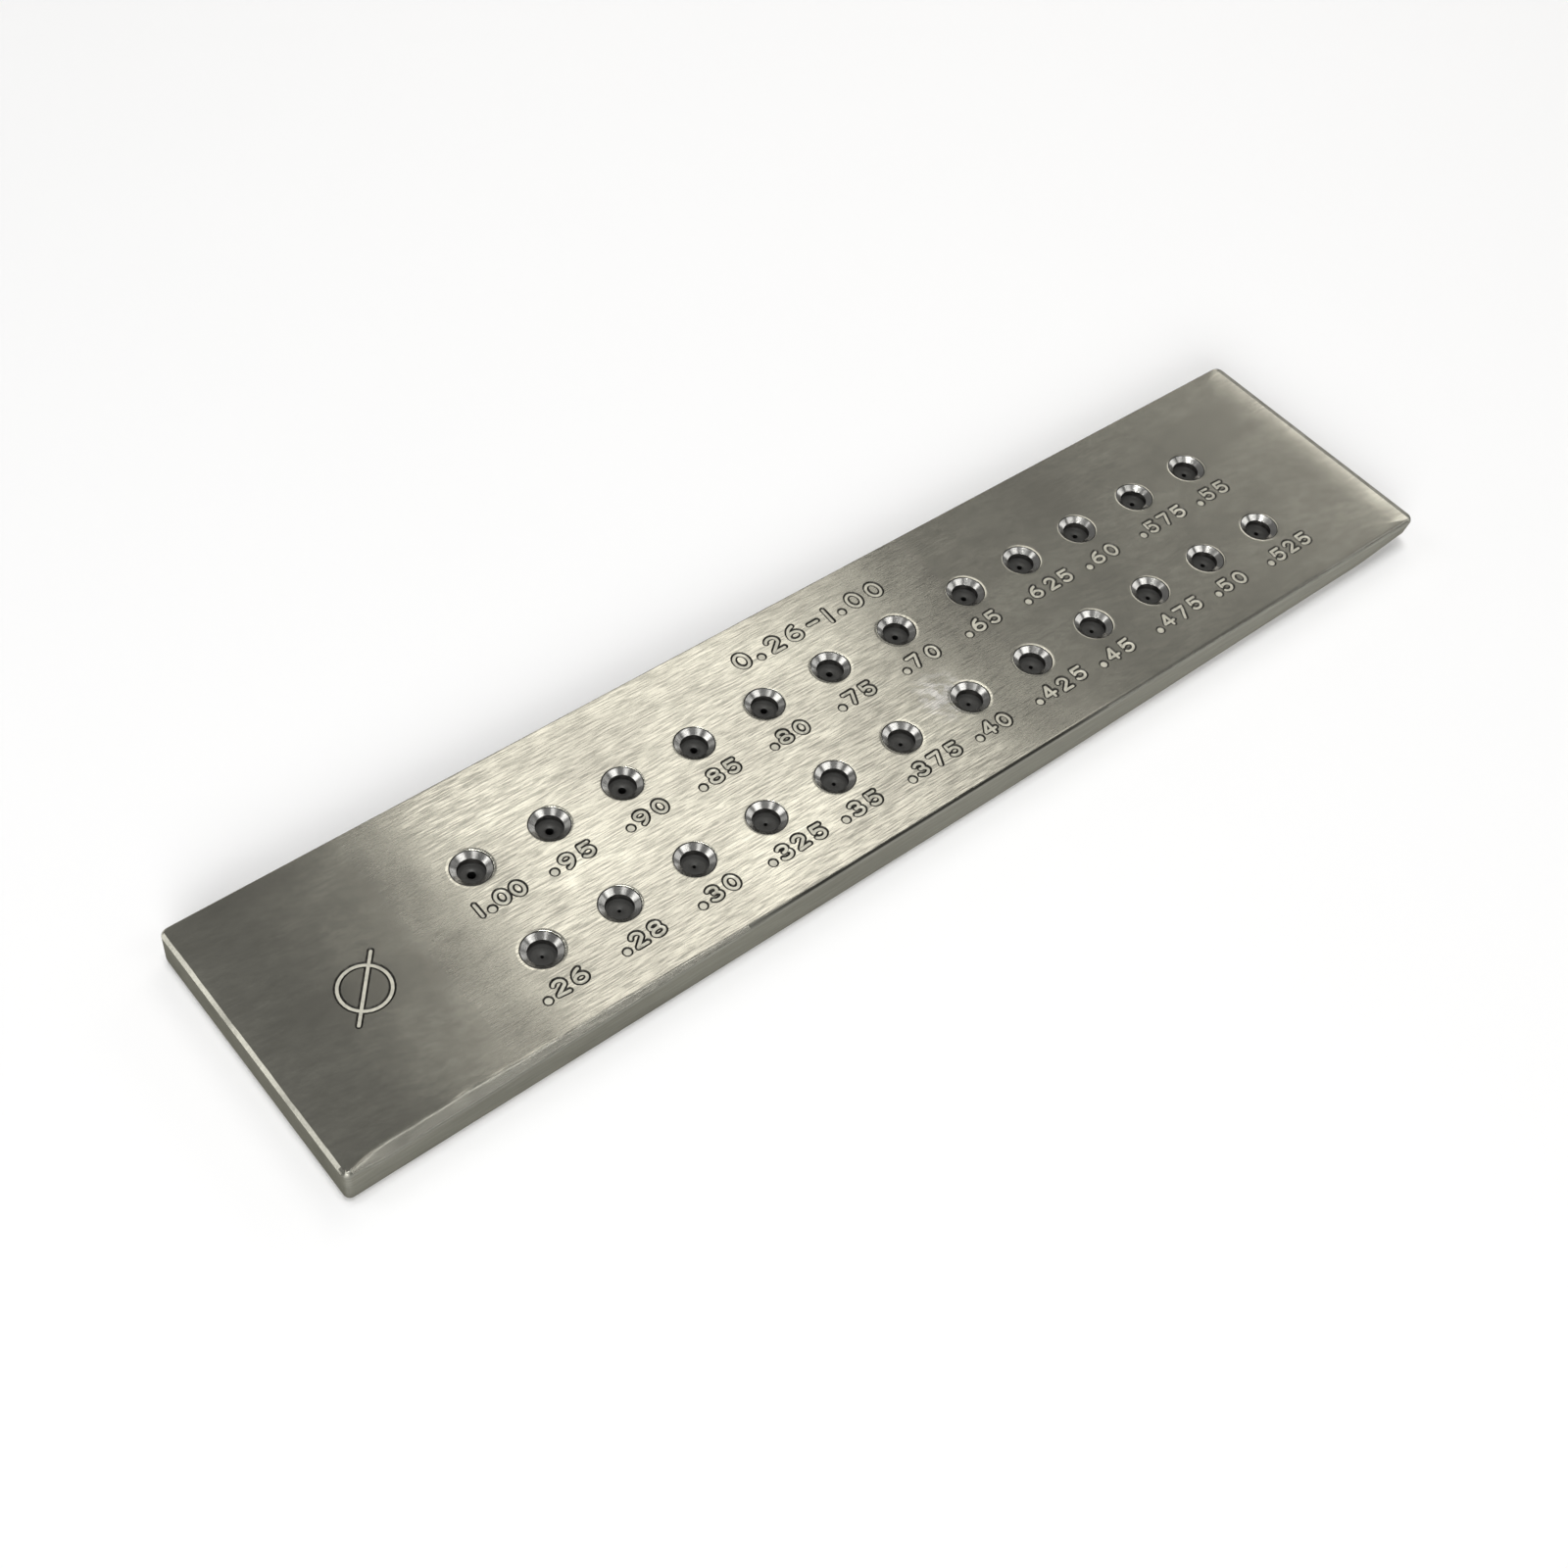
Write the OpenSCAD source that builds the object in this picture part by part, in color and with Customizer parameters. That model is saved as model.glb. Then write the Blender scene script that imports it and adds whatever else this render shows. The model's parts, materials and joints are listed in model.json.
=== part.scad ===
// Wire draw plate: a ground steel plate that carries two rows of carbide drawing dies.
// Millimetres. X runs along the length, Y across the rows, Z from the back face up to the numbered front face.
// The origin is the middle of the back face. Wire goes in from the back and is pulled out of the front.

/* [Plate] */
// Length of the plate
plate_l = 200; // [190:1:240]
// Width of the plate
plate_w = 44; // [38:0.5:60]
// Thickness of the plate
plate_t = 6.4; // [5.8:0.1:9]
// Flat bevel on the front edge of the left end
left_bevel = 0.5; // [0.2:0.05:1]
// Rounding of the front edge of the right end
right_r = 0.8; // [0.3:0.1:2]
// Rounding of the two long front edges
long_r = 0.3; // [0.2:0.05:1]
// Rounding of the back edges of the left end and the long sides
back_r = 1.2; // [0.3:0.1:2]
// Rounding of the back edge of the right end
right_back_r = 3.4; // [1:0.1:3.6]
// Rounding of the two upright corners at the left
left_corner_r = 1; // [0.3:0.1:4]
// Rounding of the two upright corners at the right
right_corner_r = 1.5; // [0.3:0.1:4]

/* [Hole pattern] */
// From the left end to the first column of holes
first_column = 38; // [30:0.5:40]
// Even pitch from column to column
column_pitch = 12.6; // [11:0.1:12.8]
// From the far long edge to the far row
far_row_inset = 14.65; // [10:0.05:15]
// From the far row to the near row
row_gap = 16.15; // [12:0.05:18]

/* [Front of each hole] */
// Rim of the polished countersink
rim_d = 6; // [5:0.1:6.8]
// Opening at the foot of the countersink
opening_d = 4.05; // [3.6:0.05:4.6]
// Full angle of the countersink
countersink_angle = 110; // [100:1:120]
// From the front face down to the die
front_recess = 1.6; // [1.4:0.05:2]

/* [Dies] */
// Outside diameter of a die
die_d = 6; // [5.4:0.1:8]
// Gap all round a die in its seat, filled by the braze
seat_gap = 0.03; // [0.01:0.01:0.08]
// From the back face of the plate in to the die
back_recess = 0.5; // [0.3:0.05:0.8]
// Bevel on the back edge of each seat
seat_bevel = 0.3; // [0.1:0.05:0.5]
// Bevel on both rims of a die
die_bevel = 0.2; // [0.05:0.05:0.4]
// Width of the shallow dish in the front of a die
dish_d = 2.2; // [1.8:0.1:3]
// Depth of the dish
dish_depth = 0.12; // [0.05:0.01:0.25]
// Length of the exit relief cone
relief_l = 0.4; // [0.2:0.05:0.6]
// Half angle of the exit relief cone
relief_half_angle = 16; // [8:1:30]
// Length of the parallel bearing that sizes the wire
bearing_l = 0.6; // [0.3:0.05:0.8]
// Length of the approach cone that reduces the wire
approach_l = 1.8; // [1:0.1:1.9]
// Half angle of the approach cone
approach_half_angle = 7; // [4:0.5:10]
// Half angle of the entry bell at the back
bell_half_angle = 32; // [20:1:40]

/* [Hidden] */
$fn = 96;
// Overlap that keeps one cut clear of the next
over = 1;

steel = [0.66, 0.65, 0.61];
carbide = [0.20, 0.20, 0.19];

// Wire sizes in millimetres, left to right
far_sizes = [1.00, 0.95, 0.90, 0.85, 0.80, 0.75, 0.70, 0.65, 0.625, 0.60, 0.575, 0.55];
near_sizes = [0.26, 0.28, 0.30, 0.325, 0.35, 0.375, 0.40, 0.425, 0.45, 0.475, 0.50, 0.525];

// The plate was drilled to hand-set marks: how far each hole strays along its row from the even pitch
far_stray = [0, 0.1, -0.2, -0.2, 0, -0.2, 0.1, 1.5, 0.7, 0.2, 0.5, 0];
near_stray = [0, -0.1, -0.1, -0.2, -0.4, -0.4, 0.3, 0.4, 0.6, 0.3, 0.1, 0];

far_y = plate_w / 2 - far_row_inset;
near_y = far_y - row_gap;

// Every hole as its place and its wire size
function row_of_holes(sizes, stray, y) = [
    for (i = [0:len(sizes) - 1])
        [first_column - plate_l / 2 + i * column_pitch + stray[i], y, sizes[i]]
];
holes = concat(
    row_of_holes(far_sizes, far_stray, far_y),
    row_of_holes(near_sizes, near_stray, near_y)
);

// A die's name carries its size: 0.625 gives die_0_625 and 0.95 gives die_0_95
function thousandths(size) = round(size * 1000);
function last_digit(n) = n % 10 == 0 ? "" : str(n % 10);
function decimals(n) = str(floor(n / 100), floor(n / 10) % 10, last_digit(n));
function die_name(size) =
    let (n = thousandths(size))
    str("die_", floor(n / 1000), "_", decimals(n % 1000));

countersink_depth = (rim_d - opening_d) / 2 / tan(countersink_angle / 2);
seat_d = die_d + 2 * seat_gap;
die_top = plate_t - front_recess;
die_l = die_top - back_recess;

// What a rounded edge of radius r takes off a square corner at the origin
module corner_round(r) {
    difference() {
        translate([-over, -over])
            square(r + over);
        translate([r, r])
            circle(r);
    }
}

// What a flat bevel of width b takes off a square corner at the origin
module corner_bevel(b) {
    polygon([[-over, -over], [b + over, -over], [-over, b + over]]);
}

// A rectangle w by h centred on X with its foot on Y = 0, with its two lower corners rounded
module slab_section(w, h, left_r, right_r) {
    difference() {
        translate([-w / 2, 0])
            square([w, h]);
        translate([-w / 2, 0])
            corner_round(left_r);
        translate([w / 2, 0])
            mirror([1, 0])
                corner_round(right_r);
    }
}

// Seen from the near side: back edges rounded, left front edge bevelled, right front edge rounded
module long_section() {
    difference() {
        slab_section(plate_l, plate_t, back_r, right_back_r);
        translate([-plate_l / 2, plate_t])
            mirror([0, 1])
                corner_bevel(left_bevel);
        translate([plate_l / 2, plate_t])
            rotate(180)
                corner_round(right_r);
    }
}

// Seen from the right end: all four edges rounded
module cross_section() {
    difference() {
        slab_section(plate_w, plate_t, back_r, back_r);
        for (side = [0, 1])
            mirror([side, 0])
                translate([plate_w / 2, plate_t])
                    rotate(180)
                        corner_round(long_r);
    }
}

// Seen from the front: four rounded corners
module outline() {
    difference() {
        square([plate_l, plate_w], center = true);
        for (end = [0, 1], side = [0, 1])
            mirror([end, 0])
                mirror([0, side])
                    translate([-plate_l / 2, -plate_w / 2])
                        corner_round(end == 0 ? left_corner_r : right_corner_r);
    }
}

// The plate before drilling
module blank() {
    intersection() {
        linear_extrude(plate_t)
            outline();
        rotate([90, 0, 0])
            linear_extrude(plate_w, center = true)
                long_section();
        rotate([90, 0, 90])
            linear_extrude(plate_l, center = true)
                cross_section();
    }
}

// One stepped hole: countersink and opening in front, die seat drilled from the back
module die_hole() {
    slope = tan(countersink_angle / 2);
    translate([0, 0, -over])
        cylinder(d = seat_d, h = die_top + over);
    translate([0, 0, -over])
        cylinder(d1 = seat_d + 2 * (seat_bevel + over), d2 = seat_d, h = seat_bevel + over);
    cylinder(d = opening_d, h = plate_t);
    translate([0, 0, plate_t - countersink_depth])
        cylinder(d1 = opening_d, d2 = rim_d + 2 * over * slope, h = countersink_depth + over);
}

// Half section of a die for one wire size, from its front face at Z = die_top down to its back face
module die_section(size) {
    r_bore = size / 2;
    r_mouth = r_bore + relief_l * tan(relief_half_angle);
    r_approach = r_bore + approach_l * tan(approach_half_angle);
    z_mouth = die_top - dish_depth;
    z_exit = z_mouth - relief_l;
    z_bearing = z_exit - bearing_l;
    z_approach = z_bearing - approach_l;
    r_bell = r_approach + (z_approach - back_recess) * tan(bell_half_angle);
    polygon([
        [dish_d / 2, die_top],
        [r_mouth, z_mouth],
        [r_bore, z_exit],
        [r_bore, z_bearing],
        [r_approach, z_approach],
        [r_bell, back_recess],
        [die_d / 2 - die_bevel, back_recess],
        [die_d / 2, back_recess + die_bevel],
        [die_d / 2, die_top - die_bevel],
        [die_d / 2 - die_bevel, die_top]
    ]);
}

// The drilled plate
module plate() {
    color(steel)
        difference() {
            blank();
            for (hole = holes)
                translate([hole[0], hole[1], 0])
                    die_hole();
        }
}

// One carbide die in its seat, its front face against the shoulder below the opening
module die(hole) {
    color(carbide)
        translate([hole[0], hole[1], 0])
            rotate_extrude()
                die_section(hole[2]);
}

plate();
for (hole = holes)
    die(hole);
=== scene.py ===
"""Wire draw plate: the looks of the ground steel plate, its stamped sizes and its carbide dies.

Metres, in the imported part's own frame: X along the plate, Y across the rows, Z up to the numbered face.
The shapes below are worked out in millimetres and scaled once, where a mesh is made.
"""
import json
import math

import bmesh
import bpy
import numpy as np
from mathutils import Matrix, Vector


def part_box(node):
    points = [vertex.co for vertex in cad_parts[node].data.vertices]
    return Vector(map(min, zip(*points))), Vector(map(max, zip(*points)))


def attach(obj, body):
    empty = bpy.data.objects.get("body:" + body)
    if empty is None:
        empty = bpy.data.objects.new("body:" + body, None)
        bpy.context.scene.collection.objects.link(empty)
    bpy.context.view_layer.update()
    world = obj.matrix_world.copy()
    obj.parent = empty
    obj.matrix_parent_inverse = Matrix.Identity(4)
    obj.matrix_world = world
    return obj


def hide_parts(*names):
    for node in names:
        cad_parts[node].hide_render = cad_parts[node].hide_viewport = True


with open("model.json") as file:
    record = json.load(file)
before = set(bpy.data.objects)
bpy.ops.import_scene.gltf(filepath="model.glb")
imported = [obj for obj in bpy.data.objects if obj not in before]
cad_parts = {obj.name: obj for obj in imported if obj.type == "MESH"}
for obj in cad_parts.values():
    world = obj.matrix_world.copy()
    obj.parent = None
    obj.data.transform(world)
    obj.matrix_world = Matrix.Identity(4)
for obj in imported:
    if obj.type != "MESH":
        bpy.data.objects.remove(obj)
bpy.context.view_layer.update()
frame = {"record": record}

MM = 0.001
draw = np.random.default_rng(24)

# The plate and a die as the frame has them, in millimetres
plate_low, plate_high = (np.array(corner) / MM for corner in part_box("plate"))
die_low, die_high = (np.array(corner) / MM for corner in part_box("die_1_00"))
FRONT = plate_high[2]
DIE_TOP = die_high[2]
DIE_FOOT = die_low[2]
DIE_R = (die_high[0] - die_low[0]) / 2

# Edges of the plate, as in the part
BACK_R = 1.2
RIGHT_BACK_R = 3.4
LONG_R = 0.3
RIGHT_R = 0.8
LEFT_BEVEL = 0.5
LEFT_CORNER_R = 1.0
RIGHT_CORNER_R = 1.5
# Least corner radius of the rings that lie on the front and back faces
INNER_CORNER_R = 0.45

# A span below is where a change starts, and how far it runs

# The near right corner is ground away further towards its foot: how much, and its spans along X and -Y
CORNER_GRIND = 1.8
CORNER_GRIND_X = (86, 14)
CORNER_GRIND_Y = (6, 16)
# The near back edge is rounded off more and more towards the right: how much, and its span along X
NEAR_GRIND = 2.3
NEAR_GRIND_X = (5, 95)
# The grinding belt dipped over the front edges: width and fall at the near, right, far and left side
ROLL_W = np.array([2.5, 7.5, 2.5, 2.5])
ROLL_SAG = np.array([0.02, 0.125, 0, 0])
# A file broke the near front edge: how far in it reaches and how softly it ends, at the right and at the left
FILED_REACH = (0.45, 1.25)
FILED_SOFT = (0.1, 0.35)
# The filed edge widens over a span along -X, and wanders by a share of its reach
FILED_X = (25, 60)
FILED_WANDER = 0.25
# At the left corner it keeps only a share of its reach, which grows over a span from the left end
FILED_AT_CORNER = 0.35
FILED_CORNER_X = (0.8, 5)
# Share by which the edges of the near side and the left end wander, and the pitches of the waves in that
NEAR_WANDER = 0.12
NEAR_WAVES = (61, 23, 11.3, 5.9, 3.1)
LEFT_WANDER = 0.08
LEFT_WAVES = (17, 7.1, 3.7)
# Width of the back face's rim that has rings of its own
FOOT_W = 4.0

# One stepped hole, as in the part
RIM_R = 3.0
OPENING_R = 2.025
COUNTERSINK_ANGLE = 110
SEAT_GAP = 0.03
SEAT_BEVEL = 0.3
# Width and fall of the worn lip round a countersink
LIP_W = 0.45
LIP_SAG = 0.035
# Width and height of the narrow band between a countersink and its lip
BAND = (0.04, 0.02)
# The drill's wobble: heights of its two waves
CHATTER = (0.006, 0.003)
# Points round a hole, and holes in a row
TURN_STEPS = 84
ROW_COUNT = 12

# Number punches: a figure's height between the middles of its strokes, and half the width of a groove
FIGURE_H = 2.12
FLOOR_HALF = 0.22
LIP_HALF = 0.52
PUNCH_DEPTH = 0.13
DOT_R = 0.8
DOT_FLOOR_R = 0.52
DOT_DROP = 0.75
# The punch drags the face down beside a groove: width and fall of that shoulder
SHOULDER_W = 0.13
SHOULDER_SAG = 0.018
# How much of its curve's radius a groove may take up on the inside of a bend
INNER_REACH = 0.85
# Distance between the points along a stroke
STROKE_GAP = 0.2
# How unsteady the hand was: in place, in tilt by degrees, in depth by a share, and in the slope of a floor
PUNCH_STRAY = 0.07
PUNCH_TILT = 2.2
PUNCH_UNEVEN = 0.1
PUNCH_LEAN = 0.03
LEAN_LIMIT = 0.04
# Lines that the figures stand on, far and near, at mid height of a figure
FIGURE_LINES = (1.05, -14.75)
# From figure to figure, and closer in a size that starts with a 1
FIGURE_PITCH = 3.05
CLOSE_PITCH = 2.55
# A size of up to so many characters is short. Middles of short and long sizes, along X from their marks
SHORT_TEXT = 3
SHORT_SHIFT = -0.85
LONG_SHIFT = 0.2
# The range of sizes along the far side
RANGE_AT = (3.5, 15.6)
RANGE_H = 2.6
RANGE_PITCH = 3.15


def stamped(size):
    """A wire size as it is stamped: 1 gives 1.00, 0.3 gives .30 and 0.625 gives .625."""
    text = f"{size:.3f}"
    text = text[:-1] if text.endswith("0") else text
    return text.lstrip("0")


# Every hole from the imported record: its place in millimetres, its wire size and its die's node
holes = [
    {
        "at": np.array(mount["pos_m"][:2]) / MM,
        "size": 2 * mount["dims"]["r_mm"],
        "node": mount["name"].replace("wire", "die"),
    }
    for mount in frame["record"]["mounts"]
    if mount["kind"] == "bore"
]

# Lines between the columns and between the rows, where the front and back faces are split before they are cut
first_x, last_x = holes[0]["at"][0], holes[ROW_COUNT - 1]["at"][0]
COLUMN_PITCH = (last_x - first_x) / (ROW_COUNT - 1)
COLUMN_SPLITS = first_x + COLUMN_PITCH * (np.arange(ROW_COUNT + 1) - 0.5)
ROW_SPLITS = (13, 3.3, -3.5, -12.7, -18)


def grid_faces(rows, cols, wrap_rows=False):
    """Quads of a grid of points: each row is closed round, and the last joins the first if asked."""
    r = np.arange(rows if wrap_rows else rows - 1)[:, None]
    c = np.arange(cols)[None, :]
    r1, c1 = (r + 1) % rows, (c + 1) % cols
    corners = (r * cols + c, r * cols + c1, r1 * cols + c1, r1 * cols + c)
    return np.stack([np.broadcast_to(k, (len(r), cols)) for k in corners], -1).reshape(-1, 4)


def capped_shell(points):
    """A closed shell as (points, arrays of faces): rings joined by quads, the first and last ring capped."""
    rows, cols = points.shape[:2]
    ring = np.arange(cols)[None]
    return points.reshape(-1, 3), [grid_faces(rows, cols), ring[:, ::-1], ring + (rows - 1) * cols]


def looped_shell(points):
    """A closed shell as (points, arrays of faces): rings joined by quads, the last ring to the first."""
    rows, cols = points.shape[:2]
    return points.reshape(-1, 3), [grid_faces(rows, cols, wrap_rows=True)[:, ::-1]]


def mesh_object(name, shells):
    """One object from several closed shells in millimetres."""
    points = np.concatenate([p for p, _ in shells]) * MM
    starts = np.cumsum([0] + [len(p) for p, _ in shells])
    faces = []
    for (_, arrays), start in zip(shells, starts):
        for array in arrays:
            faces += (array + start).tolist()
    mesh = bpy.data.meshes.new(name)
    mesh.from_pydata(points.tolist(), [], faces)
    mesh.validate()
    mesh.update()
    piece = bpy.data.objects.new(name, mesh)
    bpy.context.scene.collection.objects.link(piece)
    return piece


def carve(blank, cutter):
    """Takes the cutter's volume out of the blank, and throws the cutter away."""
    cut = blank.modifiers.new("cut", "BOOLEAN")
    cut.operation = "DIFFERENCE"
    cut.solver = "MANIFOLD"
    cut.object = cutter
    graph = bpy.context.evaluated_depsgraph_get()
    mesh = bpy.data.meshes.new_from_object(blank.evaluated_get(graph))
    blank.modifiers.clear()
    blank.data = mesh
    bpy.data.objects.remove(cutter)


def split_faces(blank, columns, rows):
    """Splits the front and back faces along lines at these X and Y, so that no face gets many cuts."""
    level = 0.99999
    touching = 1e-7
    work = bmesh.new()
    work.from_mesh(blank.data)
    lines = [((x * MM, 0, 0), (1, 0, 0)) for x in columns] + [((0, y * MM, 0), (0, 1, 0)) for y in rows]
    for place, way in lines:
        flat = [face for face in work.faces if abs(face.normal.z) > level]
        edges = list(dict.fromkeys(edge for face in flat for edge in face.edges))
        points = list(dict.fromkeys(point for face in flat for point in face.verts))
        bmesh.ops.bisect_plane(work, geom=points + edges + flat, dist=touching, plane_co=place, plane_no=way)
    work.to_mesh(blank.data)
    work.free()


# The plate before drilling

def slow_wave(along, waves, seed):
    """A slow wander along an edge, about -1 to 1: a few sines of shrinking pitch and height."""
    phase = np.random.default_rng(seed).uniform(0, 2 * math.pi, len(waves))
    pitch = np.array(waves, float)
    height = 1 / np.sqrt(np.arange(1, len(waves) + 1))
    return (height * np.sin(along[..., None] * 2 * math.pi / pitch + phase)).sum(-1) / height.sum()


def ramp(value, start, run):
    """0 up to a start and 1 from a run past it, with a smooth S between: three squares less two cubes."""
    held = np.clip((value - start) / run, 0, 1)
    return held * held * (3 - 2 * held)


def outline_weights(corner_steps=8, dense_from=0.96):
    """Points once round the plate, near side first, each as eight weights.

    The first two say how far along X and Y the point lies, from -1 at the left and near sides to 1 at the
    right and far ones. The next two times the corner radius are added to its place, which rounds the corner.
    The last four are its shares of the near, right, far and left side, which blend those sides' edges round
    a corner. Along the long sides the points crowd towards the right end.
    """
    turn = np.linspace(0, 1, corner_steps + 1)
    right = np.array([1, 1, -1, -1])
    far = np.array([-1, 1, 1, -1])
    corners = []
    for k in range(4):
        angle = (k - 1 + turn) * math.pi / 2
        share = np.zeros((corner_steps + 1, 4))
        share[:, k] = 1 - turn
        share[:, (k + 1) % 4] = turn
        ones = np.ones_like(turn)
        place = [ones * right[k], ones * far[k], np.cos(angle) - right[k], np.sin(angle) - far[k]]
        corners.append(np.column_stack(place + [share]))
    long_run = np.concatenate([np.linspace(0, dense_from, 150)[1:], np.linspace(dense_from, 1, 24)[1:-1]])
    end_run = np.linspace(0, 1, 50)[1:-1]
    round_about = []
    for k, run in enumerate((long_run, end_run, 1 - long_run[::-1], end_run)):
        run = run[:, None]
        round_about += [corners[k - 1][-1] * (1 - run) + corners[k][0] * run, corners[k]]
    return np.concatenate(round_about)


def edge_rings(steps=7, foot_steps=7, roll_steps=12, crowding=1.6):
    """Inset and height of each ring for the near, right, far and left side, from the back to the front face.

    The back face has a flat rim. The back edge and three front edges are quarter turns, and the front edge of
    the left end is a straight bevel. Past the edge the face rises by a cubic over the roll's width, in rings
    that crowd towards the edge.
    """
    sides = np.ones(4)
    foot = np.linspace(1, 0, foot_steps + 1)[:-1, None]
    turn = np.linspace(0, math.pi / 2, steps)[:, None]
    up = turn / (math.pi / 2)
    roll = np.linspace(0, 1, roll_steps + 1)[1:, None] ** crowding
    edge = np.array([LONG_R, RIGHT_R, LONG_R, LEFT_BEVEL])
    straight = np.array([0, 0, 0, 1])
    inset = np.concatenate([
        (BACK_R + FOOT_W * foot) * sides,
        BACK_R * (1 - np.sin(turn)) * sides,
        edge * ((1 - np.cos(turn)) * (1 - straight) + up * straight),
        edge + ROLL_W * roll,
    ])
    height = np.concatenate([
        0 * foot * sides,
        BACK_R * (1 - np.cos(turn)) * sides,
        FRONT - ROLL_SAG - edge * ((1 - np.sin(turn)) * (1 - straight) + (1 - up) * straight),
        FRONT - ROLL_SAG * (1 - roll) ** 3,
    ])
    return inset, height


def filed_drop(inset, x, wander):
    """How far the filed near edge lies below the face: a slope of 45 degrees, which a parabola blends in.

    Its reach widens towards the left and narrows again at the left corner.
    """
    left = ramp(-x, *FILED_X)
    reach = FILED_REACH[0] + (FILED_REACH[1] - FILED_REACH[0]) * left * (1 + FILED_WANDER * wander)
    reach = reach * (FILED_AT_CORNER + (1 - FILED_AT_CORNER) * ramp(x - plate_low[0], *FILED_CORNER_X))
    soft = FILED_SOFT[0] + (FILED_SOFT[1] - FILED_SOFT[0]) * left
    blended = np.clip(reach + soft - inset, 0, None) ** 2 / (4 * soft)
    return np.where(inset < reach - soft, reach - inset, blended)


def quarter_turn(past, radius):
    """Height of a rounded edge, at a distance past the start of its quarter turn."""
    past = np.clip(past, 0, radius)
    return radius - np.sqrt(radius * radius - past * past)


def right_foot(x, y):
    """Height of the right end's back edge: a quarter turn along Y, larger towards the near corner."""
    radius = RIGHT_BACK_R + CORNER_GRIND * ramp(-y, *CORNER_GRIND_Y)
    return quarter_turn(x - (plate_high[0] - radius), radius)


def near_foot(x, y):
    """Height of the near back edge: a quarter turn along X that widens towards the right and its corner."""
    radius = BACK_R + NEAR_GRIND * ramp(x, *NEAR_GRIND_X) + CORNER_GRIND * ramp(x, *CORNER_GRIND_X)
    return quarter_turn(plate_low[1] + radius - y, radius)


def plate_blank():
    """The plate before drilling: the edge rings carried round the outline, with sides blended at the corners.

    The near front edge is filed down at the left. The right and near back edges are rounded off last.
    """
    weights = outline_weights()
    inset, height = edge_rings()
    along, across = weights[:, 0], weights[:, 1]
    share = weights[:, 4:]
    near, right, far, left = (inset[:, k:k + 1] for k in range(4))
    z = height @ share.T
    near_wander = slow_wave(along * plate_high[0], NEAR_WAVES, seed=5)
    left_wander = slow_wave(across * plate_high[1], LEFT_WAVES, seed=8)
    near = near * (1 + NEAR_WANDER * near_wander * share[:, 0])
    left = left * (1 + LEFT_WANDER * left_wander * share[:, 3])
    rightness, nearness = (1 + along) / 2, (1 - across) / 2
    x = (1 - rightness) * (plate_low[0] + left) + rightness * (plate_high[0] - right)
    y = nearness * (plate_low[1] + near) + (1 - nearness) * (plate_high[1] - far)
    corner = LEFT_CORNER_R + (RIGHT_CORNER_R - LEFT_CORNER_R) * rightness
    corner = corner + CORNER_GRIND * rightness * nearness * (1 - z / FRONT)
    radius = np.maximum(corner - inset @ share.T, INNER_CORNER_R)
    x = x + radius * weights[:, 2]
    y = y + radius * weights[:, 3]
    z = z - filed_drop(near, x, near_wander) * share[:, 0] * (z > FRONT / 2)
    z = np.maximum(z, np.maximum(right_foot(x, y), near_foot(x, y)))
    return capped_shell(np.stack([x, y, z], -1))


# Holes

def turned(profile, at, wave=None):
    """A profile of (radius, height) rows turned about the upright axis at a place.

    A wave of angle and height, where one is given, is added to the radius.
    """
    angle = np.arange(TURN_STEPS) / TURN_STEPS * 2 * math.pi
    radius, height = (profile[:, k:k + 1] for k in range(2))
    if wave is not None:
        radius = radius + wave(angle, height)
    ones = np.ones_like(angle)
    return np.stack([at[0] + radius * np.cos(angle), at[1] + radius * np.sin(angle), height * ones], -1)


def hole_cutter(at):
    """What a stepped hole takes out: die seat with its back bevel, opening, countersink and worn lip.

    The countersink is a straight cone, and the lip rises to the face by a square.
    """
    over = 0.5
    clear = 0.1
    lift = 0.0005
    seat_r = DIE_R + SEAT_GAP
    cone_foot = FRONT - (RIM_R - OPENING_R) / math.tan(math.radians(COUNTERSINK_ANGLE / 2))
    lip = np.linspace(0, 1, 6)
    lip_r = RIM_R + LIP_W * lip
    lip_z = FRONT + lift - LIP_SAG * (1 - lip) ** 2
    cone = np.array([0, 0.2, 0.4, 0.6, 0.8, 0.9])
    cone_r = OPENING_R + (RIM_R - BAND[0] - OPENING_R) * cone
    cone_z = cone_foot + (lip_z[0] - BAND[1] - cone_foot) * cone
    seat_run = [seat_r + SEAT_BEVEL + over, seat_r, seat_r, OPENING_R]
    radius = np.concatenate([seat_run, cone_r, lip_r, [lip_r[-1] + clear]])
    height = np.concatenate([[-over, SEAT_BEVEL, DIE_TOP, DIE_TOP], cone_z, lip_z, [FRONT + clear]])
    phase = draw.uniform(0, 2 * math.pi, 2)
    lobes = draw.integers((5, 11), (9, 17))

    def chatter(angle, z):
        """The drill's slight wobble: two waves round the countersink, a few microns in and out."""
        slow = CHATTER[0] * np.sin(lobes[0] * angle + phase[0])
        quick = CHATTER[1] * np.sin(lobes[1] * angle + phase[1] + 3 * z)
        return np.where(z > cone_foot + 0.01, slow + quick, 0)

    return capped_shell(turned(np.column_stack([radius, height]), at, chatter))


# Stamped figures, on a skeleton one unit high about its middle

def bow(x, y, across, up, start, end):
    """Points along an ellipse about (x, y), from one angle to another in degrees."""
    count = max(4, int(abs(end - start) / 12))
    angle = np.radians(np.linspace(start, end, count + 1))
    return np.column_stack([x + across * np.cos(angle), y + up * np.sin(angle)])


def line(*points):
    """A straight or bent stroke through the points."""
    return np.array(points, float)


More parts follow.
